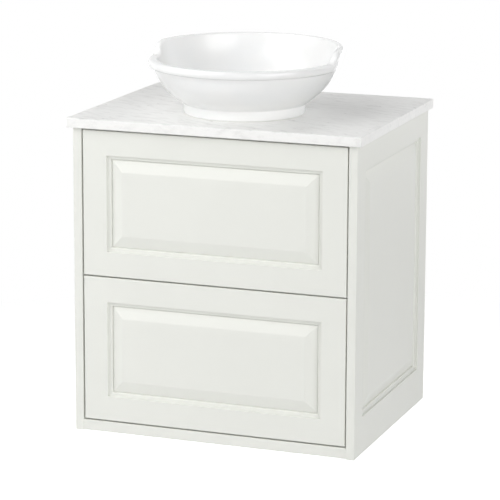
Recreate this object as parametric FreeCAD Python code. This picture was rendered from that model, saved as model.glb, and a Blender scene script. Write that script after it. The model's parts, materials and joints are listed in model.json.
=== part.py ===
import FreeCAD, Part
import math
import os

V = FreeCAD.Vector
X, Y, Z = V(1, 0, 0), V(0, 1, 0), V(0, 0, 1)

# Carcass: two sides stand from the floor board to the worktop, the back is open
WIDTH = 600.0
DEPTH = 480.0
HEIGHT = 630.0
BOARD = 18.0
FLOOR_BOARD = 16.0
FLOOR_LIFT = 1.0
PLINTH_TOP = 23.0
TOP_RAIL_DEPTH = 80.0
TOP_RAIL_CLEARANCE = 6.0
WALL_RAIL_HEIGHT = 90.0
EDGE_ROUND = 1.5

# Fronts, inset between the sides with an even shadow gap
FRONT_BOARD = 18.0
SHADOW_GAP = 3.0
FRONT_SETBACK = 1.0

# Raised panel moulding on the fronts and on the outside of the sides
FRAME_WIDTH = 51.0
STEP_DEPTH = 2.0
OVOLO_WIDTH = 9.0
MOULDING_DEPTH = 8.0
BEVEL_WIDTH = 24.0
FIELD_DROP = 1.5
OVOLO_BULGE_SHARE = 0.15

# Cam fittings that pull the carcass boards together
CAM_RADIUS = 7.5
CAM_HEIGHT = 12.0
CAM_INSET = 24.0
BOLT_RADIUS = 3.5
BOLT_BITE = 11.0
FLOOR_FITTING_SHARES = (0.2, 0.8)
RAIL_FITTING_SHARE = 0.5
FLOOR_RAIL_FITTING_SHARE = 0.7

# Steel angles in the upper back corners, and the four wall screw holes
BRACKET_LEG = 72.0
BRACKET_HEIGHT = 60.0
BRACKET_SHEET = 2.5
WALL_HOLE_RADIUS = 4.25
WALL_HOLE_INSET = 42.0
WALL_HOLE_SHARE = 0.5
BRACKET_SCREW_SHARE = 0.25

# Worktop
WORKTOP = 20.0
OVERHANG_SIDE = 10.0
OVERHANG_FRONT = 12.0
WORKTOP_ROUND = 2.0
WORKTOP_HOLE_RADIUS = 26.0
WORKTOP_SCREW_SHARE = 0.7

# Vessel basin: a bowl on a ring foot, low at the front and high at the back
BASIN_RADIUS = 199.0
BASIN_FROM_FRONT = 190.0
BASIN_BACK_HEIGHT = 135.0
BASIN_FRONT_HEIGHT = 109.0
BASIN_WALL = 11.0
BASIN_BULGE = 15.5
FOOT_RADIUS = 123.0
FOOT_HEIGHT = 15.0
FOOT_WALL = 14.5
FOOT_HOLLOW = 12.0
FLOOR_HEIGHT = 24.0
FLOOR_RISE = 5.0
FLOOR_ROUND = 28.0
SWEEP_FROM_CENTRE = 10.0
SWEEP_LENGTH = 48.0
BEAD_HEIGHT = 16.0
BEAD_ROUND = 5.0
RIM_ROUND = 3.5
SEAL_HEIGHT = 0.8
SEAL_INSET = 2.0

# Waste fitting in the basin's floor, with a push-to-open plug
DRAIN_RADIUS = 23.5
FLANGE_RADIUS = 32.5
FLANGE_HEIGHT = 3.0
FLANGE_SEAT_MARGIN = 1.5
GASKET_HEIGHT = 1.0
THREAD_RADIUS = 22.0
WASTE_BORE_RADIUS = 18.0
THREAD_BELOW_WORKTOP = 26.0
TAIL_LENGTH = 14.0
BODY_GASKET_RADIUS = 35.0
NUT_RADIUS = 33.0
NUT_HEIGHT = 9.0
NUT_WASHER_HEIGHT = 2.0
PLUG_RADIUS = 31.0
PLUG_EDGE = 2.0
PLUG_CROWN = 3.0
PLUG_LIFT_CLEARANCE = 0.3
STEM_RADIUS = 4.0
STEM_LENGTH = 46.0
GUIDE_HEIGHT = 10.0
GUIDE_RING = 2.0
GUIDE_HUB = 3.0
GUIDE_RIB = 2.5
GUIDE_DROP = 24.0
GUIDE_RIBS = 3

# Waste pipes: back under the worktop, down behind the drawers and round a U bend
PIPE_RADIUS = 20.0
PIPE_WALL = 2.0
BEND_RADIUS = 34.0
PIPE_FROM_WALL = 74.0
DOWN_PIPE_LENGTH = 130.0
TRAP_RADIUS = 38.0
OUTLET_RISE = 52.0
SOCKET_LINK = 4.0
SOCKET_WALL = 4.5
SOCKET_CLEARANCE = 0.3
SOCKET_FROM_WALL = 2.0
SEAL_GROOVE_DEPTH = 2.5
SEAL_GROOVE_LENGTH = 6.0
SEAL_FROM_MOUTH = 6.0
SLIP_NUT_LENGTH = 22.0
SLIP_NUT_WALL = 6.5
SLIP_NUT_FLUTE = 3.0
SLIP_NUT_FLUTES = 10
STUB_PAST_NUT = 1.0

# Drawer boxes
BOX_BOARD = 15.0
BOX_BELOW_PIPE = 14.5
BOX_BEFORE_PIPE = 10.5
BOX_ABOVE_FRONT_EDGE = 15.0
BOX_BOTTOM = 6.0
BOX_BOTTOM_LIFT = 10.0
BOX_GROOVE = 6.0
FRONT_SCREW_SHARES = (0.15, 0.85)
FRONT_SCREW_HEIGHT_SHARES = (0.3, 0.8)
BOX_EDGE_ROUND = 1.5

# Ball-bearing runners: three nested steel sections on each side of a drawer
RUNNER_SPACE = 12.7
RUNNER_HEIGHT = 45.0
RUNNER_SHEET = 1.2
RUNNER_DEPTH = 9.0
RUNNER_FRONT_CLEARANCE = 4.0
RUNNER_HEIGHT_SHARE = 0.5
BALL_RADIUS = 1.7
BALL_CLEARANCE = 0.05
BALL_PITCH = 42.0
BALLS_PER_ROW = 5
SECTION_CLEARANCE = 0.3
MIDDLE_STANDOFF = 0.6
MIDDLE_WEB_AT = 4.6
MEMBER_FLANGE_FROM = 7.0
RUNNER_SCREW_SHARES = (0.12, 0.78)
MEMBER_SCREW_SHARES = (0.2, 0.62)
UNIT_LENGTH = 68.0
UNIT_HEIGHT = 20.0
UNIT_DEPTH = 11.0

# Screws, pan headed
SCREW_RADIUS = 2.0
SCREW_HEAD_RADIUS = 4.0
SCREW_HEAD_HEIGHT = 1.6
SCREW_BITE = 10.0
HEAD_ROUND = 0.7

# Fits and cutting
FIT = 0.1
OVERRUN = 2.0

HALF_WIDTH = WIDTH / 2
INNER_X = HALF_WIDTH - BOARD
FRONT_FACE_Y = -DEPTH + FRONT_SETBACK
FRONT_BACK_Y = FRONT_FACE_Y + FRONT_BOARD
FRONT_HEIGHT = (HEIGHT - PLINTH_TOP - 3 * SHADOW_GAP) / 2
LOWER_FRONT_Z = PLINTH_TOP + SHADOW_GAP
UPPER_FRONT_Z = LOWER_FRONT_Z + FRONT_HEIGHT + SHADOW_GAP
FLOOR_TOP = FLOOR_LIFT + FLOOR_BOARD
UPPER_HOLE_Z = HEIGHT - WALL_RAIL_HEIGHT * WALL_HOLE_SHARE
LOWER_HOLE_Z = FLOOR_TOP + WALL_RAIL_HEIGHT * WALL_HOLE_SHARE
ORIGIN_Z = (UPPER_HOLE_Z + LOWER_HOLE_Z) / 2
WORKTOP_Z = HEIGHT + WORKTOP
BASIN_Y = -DEPTH + BASIN_FROM_FRONT
BASIN_Z = WORKTOP_Z + SEAL_HEIGHT
BEND_STUB = SLIP_NUT_LENGTH / 2 + STUB_PAST_NUT
NUT_OUTSIDE = PIPE_RADIUS + SLIP_NUT_WALL
WASTE_PIPE_Z = HEIGHT - THREAD_BELOW_WORKTOP - TAIL_LENGTH - BEND_STUB - BEND_RADIUS
BOX_LENGTH = -FRONT_BACK_Y - PIPE_FROM_WALL - NUT_OUTSIDE - BOX_BEFORE_PIPE
BOX_HEIGHT = WASTE_PIPE_Z - NUT_OUTSIDE - BOX_BELOW_PIPE - UPPER_FRONT_Z - BOX_ABOVE_FRONT_EDGE
BALL_SPACE = 2 * (BALL_RADIUS + BALL_CLEARANCE)
CABINET_INSIDE = RUNNER_HEIGHT / 2 - RUNNER_SHEET
MIDDLE_OUTER = CABINET_INSIDE - BALL_SPACE
MIDDLE_INNER = MIDDLE_OUTER - RUNNER_SHEET
MEMBER_OUTSIDE = MIDDLE_INNER - BALL_SPACE

parts = {}


def share(name, shape):
    """Keep a finished piece, moved so that the wall screws' centre is the origin."""
    piece = shape.copy()
    piece.translate(Z * -ORIGIN_Z)
    parts[name] = piece


def block(x, y, z):
    """A box between two limits along each axis."""
    corner = V(min(x), min(y), min(z))
    return Part.makeBox(abs(x[1] - x[0]), abs(y[1] - y[0]), abs(z[1] - z[0]), corner)


def rod(radius, start, heading, length):
    return Part.makeCylinder(radius, length, start, heading)


def ring(outer, inner, start, heading, length):
    bore = rod(inner, start - heading * OVERRUN, heading, length + 2 * OVERRUN)
    return rod(outer, start, heading, length).cut(bore)


def outline(start, *steps):
    """A closed face: a step is the next corner, or a point on an arc and the arc's end."""
    edges = []
    here = start
    for step in steps + (start,):
        if isinstance(step, tuple):
            edges.append(Part.Arc(here, step[0], step[1]).toShape())
            here = step[1]
        else:
            edges.append(Part.LineSegment(here, step).toShape())
            here = step
    return Part.Face(Part.Wire(edges))


def bulged(start, end, bulge):
    """The arc's middle point, off the chord's middle to its left by the bulge."""
    chord = end - start
    normal = V(-chord.z, 0, chord.x) if chord.y == 0 else V(0, -chord.z, chord.y)
    return (start + end) / 2 + normal.normalize() * bulge


def rounded(shape, radius, chosen):
    """Round the edges whose box the test picks."""
    return shape.makeFillet(radius, [edge for edge in shape.Edges if chosen(edge.BoundBox)])


def screw(seat, heading):
    """A pan head on the seat, with its shank driven along the heading."""
    head = rod(SCREW_HEAD_RADIUS, seat - heading * SCREW_HEAD_HEIGHT, heading, SCREW_HEAD_HEIGHT)
    crown = [edge for edge in head.Edges if (edge.CenterOfMass - seat).dot(heading) < -SCREW_HEAD_HEIGHT / 2]
    head = head.makeFillet(HEAD_ROUND, [edge for edge in crown if len(edge.Vertexes) == 1])
    return head.fuse(rod(SCREW_RADIUS, seat, heading, SCREW_BITE))


def screw_hole(seat, heading):
    return rod(SCREW_RADIUS + FIT, seat - heading * OVERRUN, heading, SCREW_BITE + FIT + OVERRUN)


# Raised panels

def pocket_section(at, low, high, face):
    """Section of the sunk frame: a step, a quarter round and a flat floor."""
    ledge = face - STEP_DEPTH
    floor = face - MOULDING_DEPTH
    bulge = math.hypot(OVOLO_WIDTH, MOULDING_DEPTH - STEP_DEPTH) * OVOLO_BULGE_SHARE
    left, left_foot = at(low, ledge), at(low + OVOLO_WIDTH, floor)
    right, right_foot = at(high, ledge), at(high - OVOLO_WIDTH, floor)
    return outline(
        at(low, face + OVERRUN),
        left,
        (bulged(left, left_foot, bulge), left_foot),
        right_foot,
        (bulged(right_foot, right, bulge), right),
        at(high, face + OVERRUN))


def field_section(at, low, high, face):
    """Section of the raised field, its bevels rising from the foot of the quarter rounds."""
    floor = face - MOULDING_DEPTH
    top = face - FIELD_DROP
    low_foot, high_foot = low + OVOLO_WIDTH, high - OVOLO_WIDTH
    return outline(
        at(low_foot, floor - OVERRUN),
        at(low_foot, floor),
        at(low_foot + BEVEL_WIDTH, top),
        at(high_foot - BEVEL_WIDTH, top),
        at(high_foot, floor),
        at(high_foot, floor - OVERRUN))


def mitred(section, width, height, face):
    """One section run both ways across the board, so that it mitres at the corners."""
    across = section(lambda a, b: V(a, 0, b), width[0], width[1], face)
    along = section(lambda a, b: V(0, a, b), height[0], height[1], face)
    across = across.extrude(Y * (height[1] + height[0]))
    along = along.extrude(X * (width[1] + width[0]))
    return across.common(along)


def raised_panel(width, height, thickness, frame):
    """A board on its back with its face up; frame is the flat margin left, right, below, above."""
    slab = Part.makeBox(width, height, thickness)
    slab = rounded(slab, EDGE_ROUND, lambda box: box.ZMin > thickness / 2)
    wide = (frame[0], width - frame[1])
    tall = (frame[2], height - frame[3])
    sunk = slab.cut(mitred(pocket_section, wide, tall, thickness))
    return sunk.fuse(mitred(field_section, wide, tall, thickness)).removeSplitter()


def drawer_front(bottom):
    panel = raised_panel(2 * (INNER_X - SHADOW_GAP), FRONT_HEIGHT, FRONT_BOARD, [FRAME_WIDTH] * 4)
    turn = FreeCAD.Rotation(X, 90)
    place = V(-INNER_X + SHADOW_GAP, FRONT_BACK_Y, bottom)
    panel.Placement = FreeCAD.Placement(place, turn)
    return panel


def side_panel(side):
    """The moulding lines up with those of the fronts, so its lower margin is wider."""
    below = LOWER_FRONT_Z + FRAME_WIDTH
    above = SHADOW_GAP + FRAME_WIDTH
    panel = raised_panel(DEPTH, HEIGHT, BOARD, (FRAME_WIDTH, FRAME_WIDTH, below, above))
    turn = FreeCAD.Rotation(X + Y + Z, 120)
    place = V(INNER_X, -DEPTH, 0)
    if side < 0:
        turn = FreeCAD.Rotation(Z, 180).multiply(turn)
        place = V(-INNER_X, 0, 0)
    panel.Placement = FreeCAD.Placement(place, turn)
    holes = [bolt_hole(side, seat) for seat in fitting_seats()]
    holes += [screw_hole(seat, X * side) for seat in runner_screw_seats(side) + bracket_side_seats(side)]
    return panel.cut(Part.makeCompound(holes))


# Carcass

def fitting_seats():
    """Where each board meets a side: its y and z, the cam's heading and the board's name."""
    floor_z = FLOOR_LIFT + FLOOR_BOARD / 2
    seats = [(-DEPTH * part, floor_z, -Z, FLOOR_BOARD, "bottom_panel") for part in FLOOR_FITTING_SHARES]
    rail_y = FRONT_BACK_Y + TOP_RAIL_CLEARANCE + TOP_RAIL_DEPTH * RAIL_FITTING_SHARE
    seats.append((rail_y, HEIGHT - FLOOR_BOARD / 2, -Z, FLOOR_BOARD, "top_front_rail"))
    upper_z = HEIGHT - WALL_RAIL_HEIGHT + CAM_RADIUS + BOLT_BITE
    seats.append((-BOARD / 2, upper_z, -Y, BOARD, "top_back_rail"))
    lower_z = FLOOR_TOP + WALL_RAIL_HEIGHT * FLOOR_RAIL_FITTING_SHARE
    seats.append((-BOARD / 2, lower_z, -Y, BOARD, "bottom_back_rail"))
    return seats


def cam(side, seat, slack=0.0):
    """A disc let into the board's face, its axis across the joint."""
    y, z, heading, thickness, board = seat
    face = V(side * (INNER_X - CAM_INSET), y, z) + heading * thickness / 2
    return rod(CAM_RADIUS + slack, face, -heading, CAM_HEIGHT + slack)


def bolt(side, seat):
    """A bolt screwed into the side, its end just clear of the cam."""
    start = V(side * (INNER_X + BOLT_BITE), seat[0], seat[1])
    length = BOLT_BITE + CAM_INSET - CAM_RADIUS - 2 * FIT
    return rod(BOLT_RADIUS, start, X * -side, length)


def bolt_hole(side, seat):
    start = V(side * (INNER_X + BOLT_BITE + FIT), seat[0], seat[1])
    return rod(BOLT_RADIUS + FIT, start, X * -side, BOLT_BITE + CAM_INSET)


def drilled(board, name):
    """The board with the holes of its cams and bolts."""
    seats = [seat for seat in fitting_seats() if seat[4] == name]
    holes = [cam(side, seat, FIT) for seat in seats for side in (-1, 1)]
    holes += [bolt_hole(side, seat) for seat in seats for side in (-1, 1)]
    return board.cut(Part.makeCompound(holes))


def wall_holes(z):
    """The holes for a pair of wall screws, through the rail and whatever lies on it."""
    start = -BOARD - BRACKET_SHEET - OVERRUN
    return [rod(WALL_HOLE_RADIUS, V(side * (INNER_X - WALL_HOLE_INSET), start, z), Y, -start + OVERRUN)
            for side in (-1, 1)]


def carcass():
    inside = (-INNER_X, INNER_X)
    plinth_back = FRONT_FACE_Y + BOARD
    floor = block(inside, (plinth_back, 0), (FLOOR_LIFT, FLOOR_TOP))
    plinth = block(inside, (FRONT_FACE_Y, plinth_back), (FLOOR_LIFT, PLINTH_TOP))
    plinth = rounded(plinth, EDGE_ROUND, lambda box: box.YMax < FRONT_FACE_Y + FIT and box.XLength > BOARD)
    rail_front = FRONT_BACK_Y + TOP_RAIL_CLEARANCE
    top_rail = block(inside, (rail_front, rail_front + TOP_RAIL_DEPTH), (HEIGHT - FLOOR_BOARD, HEIGHT))
    holes = [screw_hole(seat, Z) for seat in worktop_screw_seats()]
    holes += [rod(SCREW_HEAD_RADIUS + FIT, seat, -Z, FLOOR_BOARD) for seat in worktop_screw_seats()]
    top_rail = top_rail.cut(Part.makeCompound(holes))
    upper = block(inside, (-BOARD, 0), (HEIGHT - WALL_RAIL_HEIGHT, HEIGHT))
    lower = block(inside, (-BOARD, 0), (FLOOR_TOP, FLOOR_TOP + WALL_RAIL_HEIGHT))
    bracket_holes = [screw_hole(seat, Y) for side in (-1, 1) for seat in bracket_rail_seats(side)]
    upper = upper.cut(Part.makeCompound(wall_holes(UPPER_HOLE_Z) + bracket_holes))
    lower = lower.cut(Part.makeCompound(wall_holes(LOWER_HOLE_Z)))
    share("side_panel_left", side_panel(-1))
    share("side_panel_right", side_panel(1))
    share("bottom_panel", drilled(floor, "bottom_panel"))
    share("front_bottom_rail", plinth)
    share("top_front_rail", drilled(top_rail, "top_front_rail"))
    share("top_back_rail", drilled(upper, "top_back_rail"))
    share("bottom_back_rail", drilled(lower, "bottom_back_rail"))
    fittings = [make(side, seat) for seat in fitting_seats() for side in (-1, 1) for make in (cam, bolt)]
    share("carcass_fittings", Part.makeCompound(fittings))


# Hanging brackets

def bracket_rail_seats(side):
    """Two screws through the leg that lies on the upper wall rail."""
    y = -BOARD - BRACKET_SHEET
    x = side * (INNER_X - BRACKET_LEG * BRACKET_SCREW_SHARE)
    return [V(x, y, UPPER_HOLE_Z + step * BRACKET_HEIGHT * BRACKET_SCREW_SHARE) for step in (-1, 1)]


def bracket_side_seats(side):
    """Two screws through the leg that lies on the side panel."""
    x = side * (INNER_X - BRACKET_SHEET)
    y = -BOARD - BRACKET_LEG / 2
    return [V(x, y, UPPER_HOLE_Z + step * BRACKET_HEIGHT * BRACKET_SCREW_SHARE) for step in (-1, 1)]


def hanging_bracket(side):
    """A steel angle with one leg on the rail and one on the side."""
    height = (UPPER_HOLE_Z - BRACKET_HEIGHT / 2, UPPER_HOLE_Z + BRACKET_HEIGHT / 2)
    corner = side * INNER_X
    on_rail = block((corner, side * (INNER_X - BRACKET_LEG)), (-BOARD - BRACKET_SHEET, -BOARD), height)
    on_side = block((corner, side * (INNER_X - BRACKET_SHEET)), (-BOARD - BRACKET_LEG, -BOARD), height)
    holes = wall_holes(UPPER_HOLE_Z)
    holes += [screw_hole(seat, Y) for seat in bracket_rail_seats(side)]
    holes += [screw_hole(seat, X * side) for seat in bracket_side_seats(side)]
    return on_rail.fuse(on_side).removeSplitter().cut(Part.makeCompound(holes))


def brackets_and_screws():
    share("hanging_bracket_left", hanging_bracket(-1))
    share("hanging_bracket_right", hanging_bracket(1))
    screws = [screw(seat, Z) for seat in worktop_screw_seats()]
    for side in (-1, 1):
        screws += [screw(seat, Y) for seat in bracket_rail_seats(side)]
        screws += [screw(seat, X * side) for seat in bracket_side_seats(side)]
        screws += [screw(seat, X * side) for seat in runner_screw_seats(side)]
    share("cabinet_screws", Part.makeCompound(screws))


# Worktop

def worktop_screw_seats():
    """Screws up through the front rail; a pocket lets their short shanks reach the worktop."""
    y = FRONT_BACK_Y + TOP_RAIL_CLEARANCE + TOP_RAIL_DEPTH / 2
    return [V(side * INNER_X * WORKTOP_SCREW_SHARE, y, HEIGHT - SCREW_BITE / 2) for side in (-1, 1)]


def worktop():
    """A stone-effect slab with softened edges and one hole for the waste."""
    half = HALF_WIDTH + OVERHANG_SIDE
    slab = block((-half, half), (-DEPTH - OVERHANG_FRONT, 0), (HEIGHT, WORKTOP_Z))
    slab = rounded(slab, WORKTOP_ROUND, lambda box: box.YMin < -OVERRUN)
    hole = rod(WORKTOP_HOLE_RADIUS, V(0, BASIN_Y, HEIGHT - OVERRUN), Z, WORKTOP + 2 * OVERRUN)
    holes = [screw_hole(seat, Z) for seat in worktop_screw_seats()]
    share("worktop", slab.cut(Part.makeCompound([hole] + holes)))


# Basin, in heights above its own foot

def basin_arc():
    """Centre and radius of the bowl's outer arc, from its two ends and its bulge."""
    foot, rim = V(FOOT_RADIUS, 0, FOOT_HEIGHT), V(BASIN_RADIUS, 0, BASIN_BACK_HEIGHT)
    chord = (rim - foot).Length
    radius = chord ** 2 / (8 * BASIN_BULGE) + BASIN_BULGE / 2
    middle = bulged(foot, rim, -BASIN_BULGE)
    inward = (foot + rim) / 2 - middle
    return middle + inward.normalize() * radius, radius


def on_arc(radius, height):
    """The point of an arc about the bowl's centre at one height."""
    centre = basin_arc()[0]
    return V(centre.x + math.sqrt(radius ** 2 - (height - centre.z) ** 2), 0, height)


def turned(face):
    whole = face.revolve(V(0, 0, 0), Z, 360)
    whole.translate(V(0, BASIN_Y, BASIN_Z))
    return whole


def under_rim(drop):
    """Everything below the rim's line, lowered by the drop: low in front, an S, high at the back."""
    low, high = BASIN_FRONT_HEIGHT - drop, BASIN_BACK_HEIGHT - drop
    reach = BASIN_RADIUS + OVERRUN
    start = V(-reach, -SWEEP_FROM_CENTRE - SWEEP_LENGTH / 2, low)
    end = V(-reach, -SWEEP_FROM_CENTRE + SWEEP_LENGTH / 2, high)
    middle = (start + end) / 2
    half = (middle - start).Length
    bulge = half * math.tan(math.atan2(high - low, SWEEP_LENGTH) / 2) / 2
    face = outline(
        V(-reach, -reach, -OVERRUN),
        V(-reach, -reach, low),
        start,
        (bulged(start, middle, -bulge), middle),
        (bulged(middle, end, bulge), end),
        V(-reach, reach, high),
        V(-reach, reach, -OVERRUN))
    prism = face.extrude(X * 2 * reach)
    prism.translate(V(0, BASIN_Y, BASIN_Z))
    return prism


def bowl():
    """The bowl, its foot and its floor, turned in one piece and cut along the rim's sweep."""
    outer = basin_arc()[1]
    inner = outer - BASIN_WALL
    top = BASIN_BACK_HEIGHT + OVERRUN
    floor_edge = on_arc(inner, FLOOR_HEIGHT + FLOOR_RISE)
    inner_rim, outer_rim = on_arc(inner, top), on_arc(outer, top)
    waist = V(FOOT_RADIUS, 0, FOOT_HEIGHT)
    hollow = FOOT_RADIUS - FOOT_WALL
    face = outline(
        V(DRAIN_RADIUS, 0, FLOOR_HEIGHT),
        V(FLANGE_RADIUS + FLANGE_SEAT_MARGIN, 0, FLOOR_HEIGHT),
        floor_edge,
        (on_arc(inner, (floor_edge.z + top) / 2), inner_rim),
        outer_rim,
        (on_arc(outer, (waist.z + top) / 2), waist),
        V(FOOT_RADIUS, 0, 0),
        V(hollow, 0, 0),
        V(hollow, 0, FOOT_HOLLOW),
        V(DRAIN_RADIUS, 0, FOOT_HOLLOW))
    whole = turned(face)
    corner_z = BASIN_Z + floor_edge.z
    whole = rounded(whole, FLOOR_ROUND, lambda box: abs(box.ZMin - corner_z) < FIT and box.ZLength < FIT)
    return whole.common(under_rim(BEAD_ROUND))


def rim_bead():
    """The rolled edge: proud of the low front wall, flush with the flared back."""
    inner = basin_arc()[1] - BASIN_WALL
    bottom = BASIN_FRONT_HEIGHT - BEAD_HEIGHT - OVERRUN
    top = BASIN_BACK_HEIGHT + OVERRUN
    face = outline(
        on_arc(inner, bottom),
        (on_arc(inner, (bottom + top) / 2), on_arc(inner, top)),
        V(BASIN_RADIUS, 0, top),
        V(BASIN_RADIUS, 0, bottom))
    band = turned(face).common(under_rim(0)).cut(under_rim(BEAD_HEIGHT))
    outside = [edge for edge in band.Edges
               if far_out(edge, BASIN_RADIUS - FIT) and not isinstance(edge.Curve, Part.Line)]
    band = band.makeFillet(BEAD_ROUND, outside)
    base = under_rim(BEAD_HEIGHT)
    inside = [edge for edge in band.Edges
              if base.distToShape(edge)[0] > FIT and not far_out(edge, BASIN_RADIUS - BASIN_WALL + FIT)]
    return band.makeFillet(RIM_ROUND, inside)


def far_out(edge, radius):
    """Whether an edge's middle lies out past the radius from the basin's axis."""
    middle = edge.valueAt((edge.FirstParameter + edge.LastParameter) / 2)
    return math.hypot(middle.x, middle.y - BASIN_Y) > radius


def basin():
    share("basin", bowl().fuse(rim_bead()).removeSplitter())
    seal_outer = FOOT_RADIUS - SEAL_INSET
    seal_inner = FOOT_RADIUS - FOOT_WALL + SEAL_INSET
    share("basin_seal", ring(seal_outer, seal_inner, V(0, BASIN_Y, WORKTOP_Z), Z, SEAL_HEIGHT))


# Waste fitting

def waste_fitting():
    axis = V(0, BASIN_Y, 0)
    floor = BASIN_Z + FLOOR_HEIGHT
    flange = floor + GASKET_HEIGHT
    thread_end = HEIGHT - THREAD_BELOW_WORKTOP
    tail_end = thread_end - TAIL_LENGTH
    disc = rod(FLANGE_RADIUS, axis + Z * flange, Z, FLANGE_HEIGHT)
    disc = rounded(disc, FLANGE_HEIGHT / 2, lambda box: box.ZMin > flange + FLANGE_HEIGHT - FIT)
    thread = rod(THREAD_RADIUS, axis + Z * thread_end, Z, flange - thread_end + FIT)
    tail = rod(PIPE_RADIUS, axis + Z * tail_end, Z, thread_end - tail_end + FIT)
    whole_length = flange + FLANGE_HEIGHT - tail_end
    bore = rod(WASTE_BORE_RADIUS, axis + Z * (tail_end - OVERRUN), Z, whole_length + 2 * OVERRUN)
    share("waste_body", disc.fuse(thread).fuse(tail).cut(bore).removeSplitter())
    share("flange_gasket", ring(FLANGE_RADIUS - FIT, THREAD_RADIUS + FIT, axis + Z * floor, Z, GASKET_HEIGHT))
    gasket_height = BASIN_Z + FOOT_HOLLOW - WORKTOP_Z
    share("body_gasket", ring(BODY_GASKET_RADIUS, THREAD_RADIUS + FIT, axis + Z * WORKTOP_Z, Z, gasket_height))
    washer = axis + Z * (HEIGHT - NUT_WASHER_HEIGHT)
    share("nut_washer", ring(NUT_RADIUS, THREAD_RADIUS + FIT, washer, Z, NUT_WASHER_HEIGHT))
    share("waste_nut", fluted(NUT_RADIUS, THREAD_RADIUS + FIT, washer - Z * NUT_HEIGHT, Z, NUT_HEIGHT))
    guide_and_plug(axis, flange + FLANGE_HEIGHT)


def guide_and_plug(axis, flange_top):
    """The plug's stem slides in a hub that three ribs hold in the waste's bore."""
    low = axis + Z * (flange_top - GUIDE_DROP - GUIDE_HEIGHT)
    outer = WASTE_BORE_RADIUS - FIT
    hub = STEM_RADIUS + FIT + GUIDE_HUB
    guide = rod(outer, low, Z, GUIDE_HEIGHT).cut(rod(outer - GUIDE_RING, low, Z, GUIDE_HEIGHT))
    guide = guide.fuse(rod(hub, low, Z, GUIDE_HEIGHT))
    for turn in range(GUIDE_RIBS):
        rib = Part.makeBox(outer - GUIDE_RING / 2, GUIDE_RIB, GUIDE_HEIGHT, low - Y * GUIDE_RIB / 2)
        rib.rotate(low, Z, 360 * turn / GUIDE_RIBS)
        guide = guide.fuse(rib)
    guide = guide.cut(rod(STEM_RADIUS + FIT, low - Z * OVERRUN, Z, GUIDE_HEIGHT + 2 * OVERRUN))
    share("plug_guide", guide.removeSplitter())
    seat = axis + Z * (flange_top + PLUG_LIFT_CLEARANCE)
    dome_radius = (PLUG_RADIUS ** 2 + PLUG_CROWN ** 2) / (2 * PLUG_CROWN)
    dome = Part.makeSphere(dome_radius, seat + Z * (PLUG_EDGE + PLUG_CROWN - dome_radius))
    share("plug_cap", rod(PLUG_RADIUS, seat, Z, PLUG_EDGE + PLUG_CROWN).common(dome))
    share("plug_stem", rod(STEM_RADIUS, seat - Z * STEM_LENGTH, Z, STEM_LENGTH))


def fluted(outer, inner, start, heading, length):
    """A ring nut with finger flutes round its edge."""
    nut = ring(outer, inner, start, heading, length)
    across = heading.cross(X if abs(heading.x) < FIT else Y)
    flutes = []
    for turn in range(SLIP_NUT_FLUTES):
        flute = rod(SLIP_NUT_FLUTE, start + across * outer - heading * OVERRUN, heading, length + 2 * OVERRUN)
        flute.rotate(start, heading, 360 * turn / SLIP_NUT_FLUTES)
        flutes.append(flute)
    return nut.cut(Part.makeCompound(flutes))


# Waste pipes

def pipe_face(start, heading):
    outer = Part.Wire(Part.Circle(start, heading, PIPE_RADIUS).toShape())
    inner = Part.Wire(Part.Circle(start, heading, PIPE_RADIUS - PIPE_WALL).toShape())
    return Part.Face(outer).cut(Part.Face(inner)).Faces[0]


def straight(start, heading, length):
    """A length of pipe, and where it ends."""
    return ring(PIPE_RADIUS, PIPE_RADIUS - PIPE_WALL, start, heading, length), start + heading * length


def bend(start, heading, onward, radius):
    """A quarter bend of pipe, and where it ends."""
    turned_pipe = pipe_face(start, heading).revolve(start + onward * radius, heading.cross(onward), 90)
    return turned_pipe, start + (heading + onward) * radius


def elbow(start, heading, onward):
    """A bend with a short straight stub at each end."""
    first, here = straight(start, heading, BEND_STUB)
    middle, here = bend(here, heading, onward, BEND_RADIUS)
    last, here = straight(here, onward, BEND_STUB)
    return first.fuse(middle).fuse(last).removeSplitter(), here


def slip_nut(joint, heading):
    start = joint - heading * SLIP_NUT_LENGTH / 2
    return fluted(NUT_OUTSIDE, PIPE_RADIUS + FIT, start, heading, SLIP_NUT_LENGTH)


def waste_pipes():
    """From the waste's tail to a socket for the wall's pipe, each joint under a slip nut."""
    here = V(0, BASIN_Y, HEIGHT - THREAD_BELOW_WORKTOP - TAIL_LENGTH)
    nuts = [slip_nut(here, -Z)]
    piece, here = elbow(here, -Z, Y)
    share("waste_elbow", piece)
    nuts.append(slip_nut(here, Y))
    reach = -PIPE_FROM_WALL - BEND_RADIUS - BEND_STUB - here.y
    piece, here = straight(here, Y, reach)
    share("waste_pipe", piece)
    nuts.append(slip_nut(here, Y))
    piece, here = elbow(here, Y, -Z)
    share("back_elbow", piece)
    nuts.append(slip_nut(here, -Z))
    piece, here = straight(here, -Z, DOWN_PIPE_LENGTH)
    share("down_pipe", piece)
    nuts.append(slip_nut(here, -Z))
    here = trap_bend(here)
    nuts.append(slip_nut(here, Z))
    outlet(here)
    share("slip_nuts", Part.makeCompound(nuts))


def trap_bend(here):
    """The U that holds water against smells: down, across and up again."""
    inlet, here = straight(here, -Z, BEND_STUB)
    first, here = bend(here, -Z, X, TRAP_RADIUS)
    second, here = bend(here, X, Z, TRAP_RADIUS)
    rise, here = straight(here, Z, OUTLET_RISE)
    share("trap_bend", inlet.fuse(first).fuse(second).fuse(rise).removeSplitter())
    return here


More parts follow.
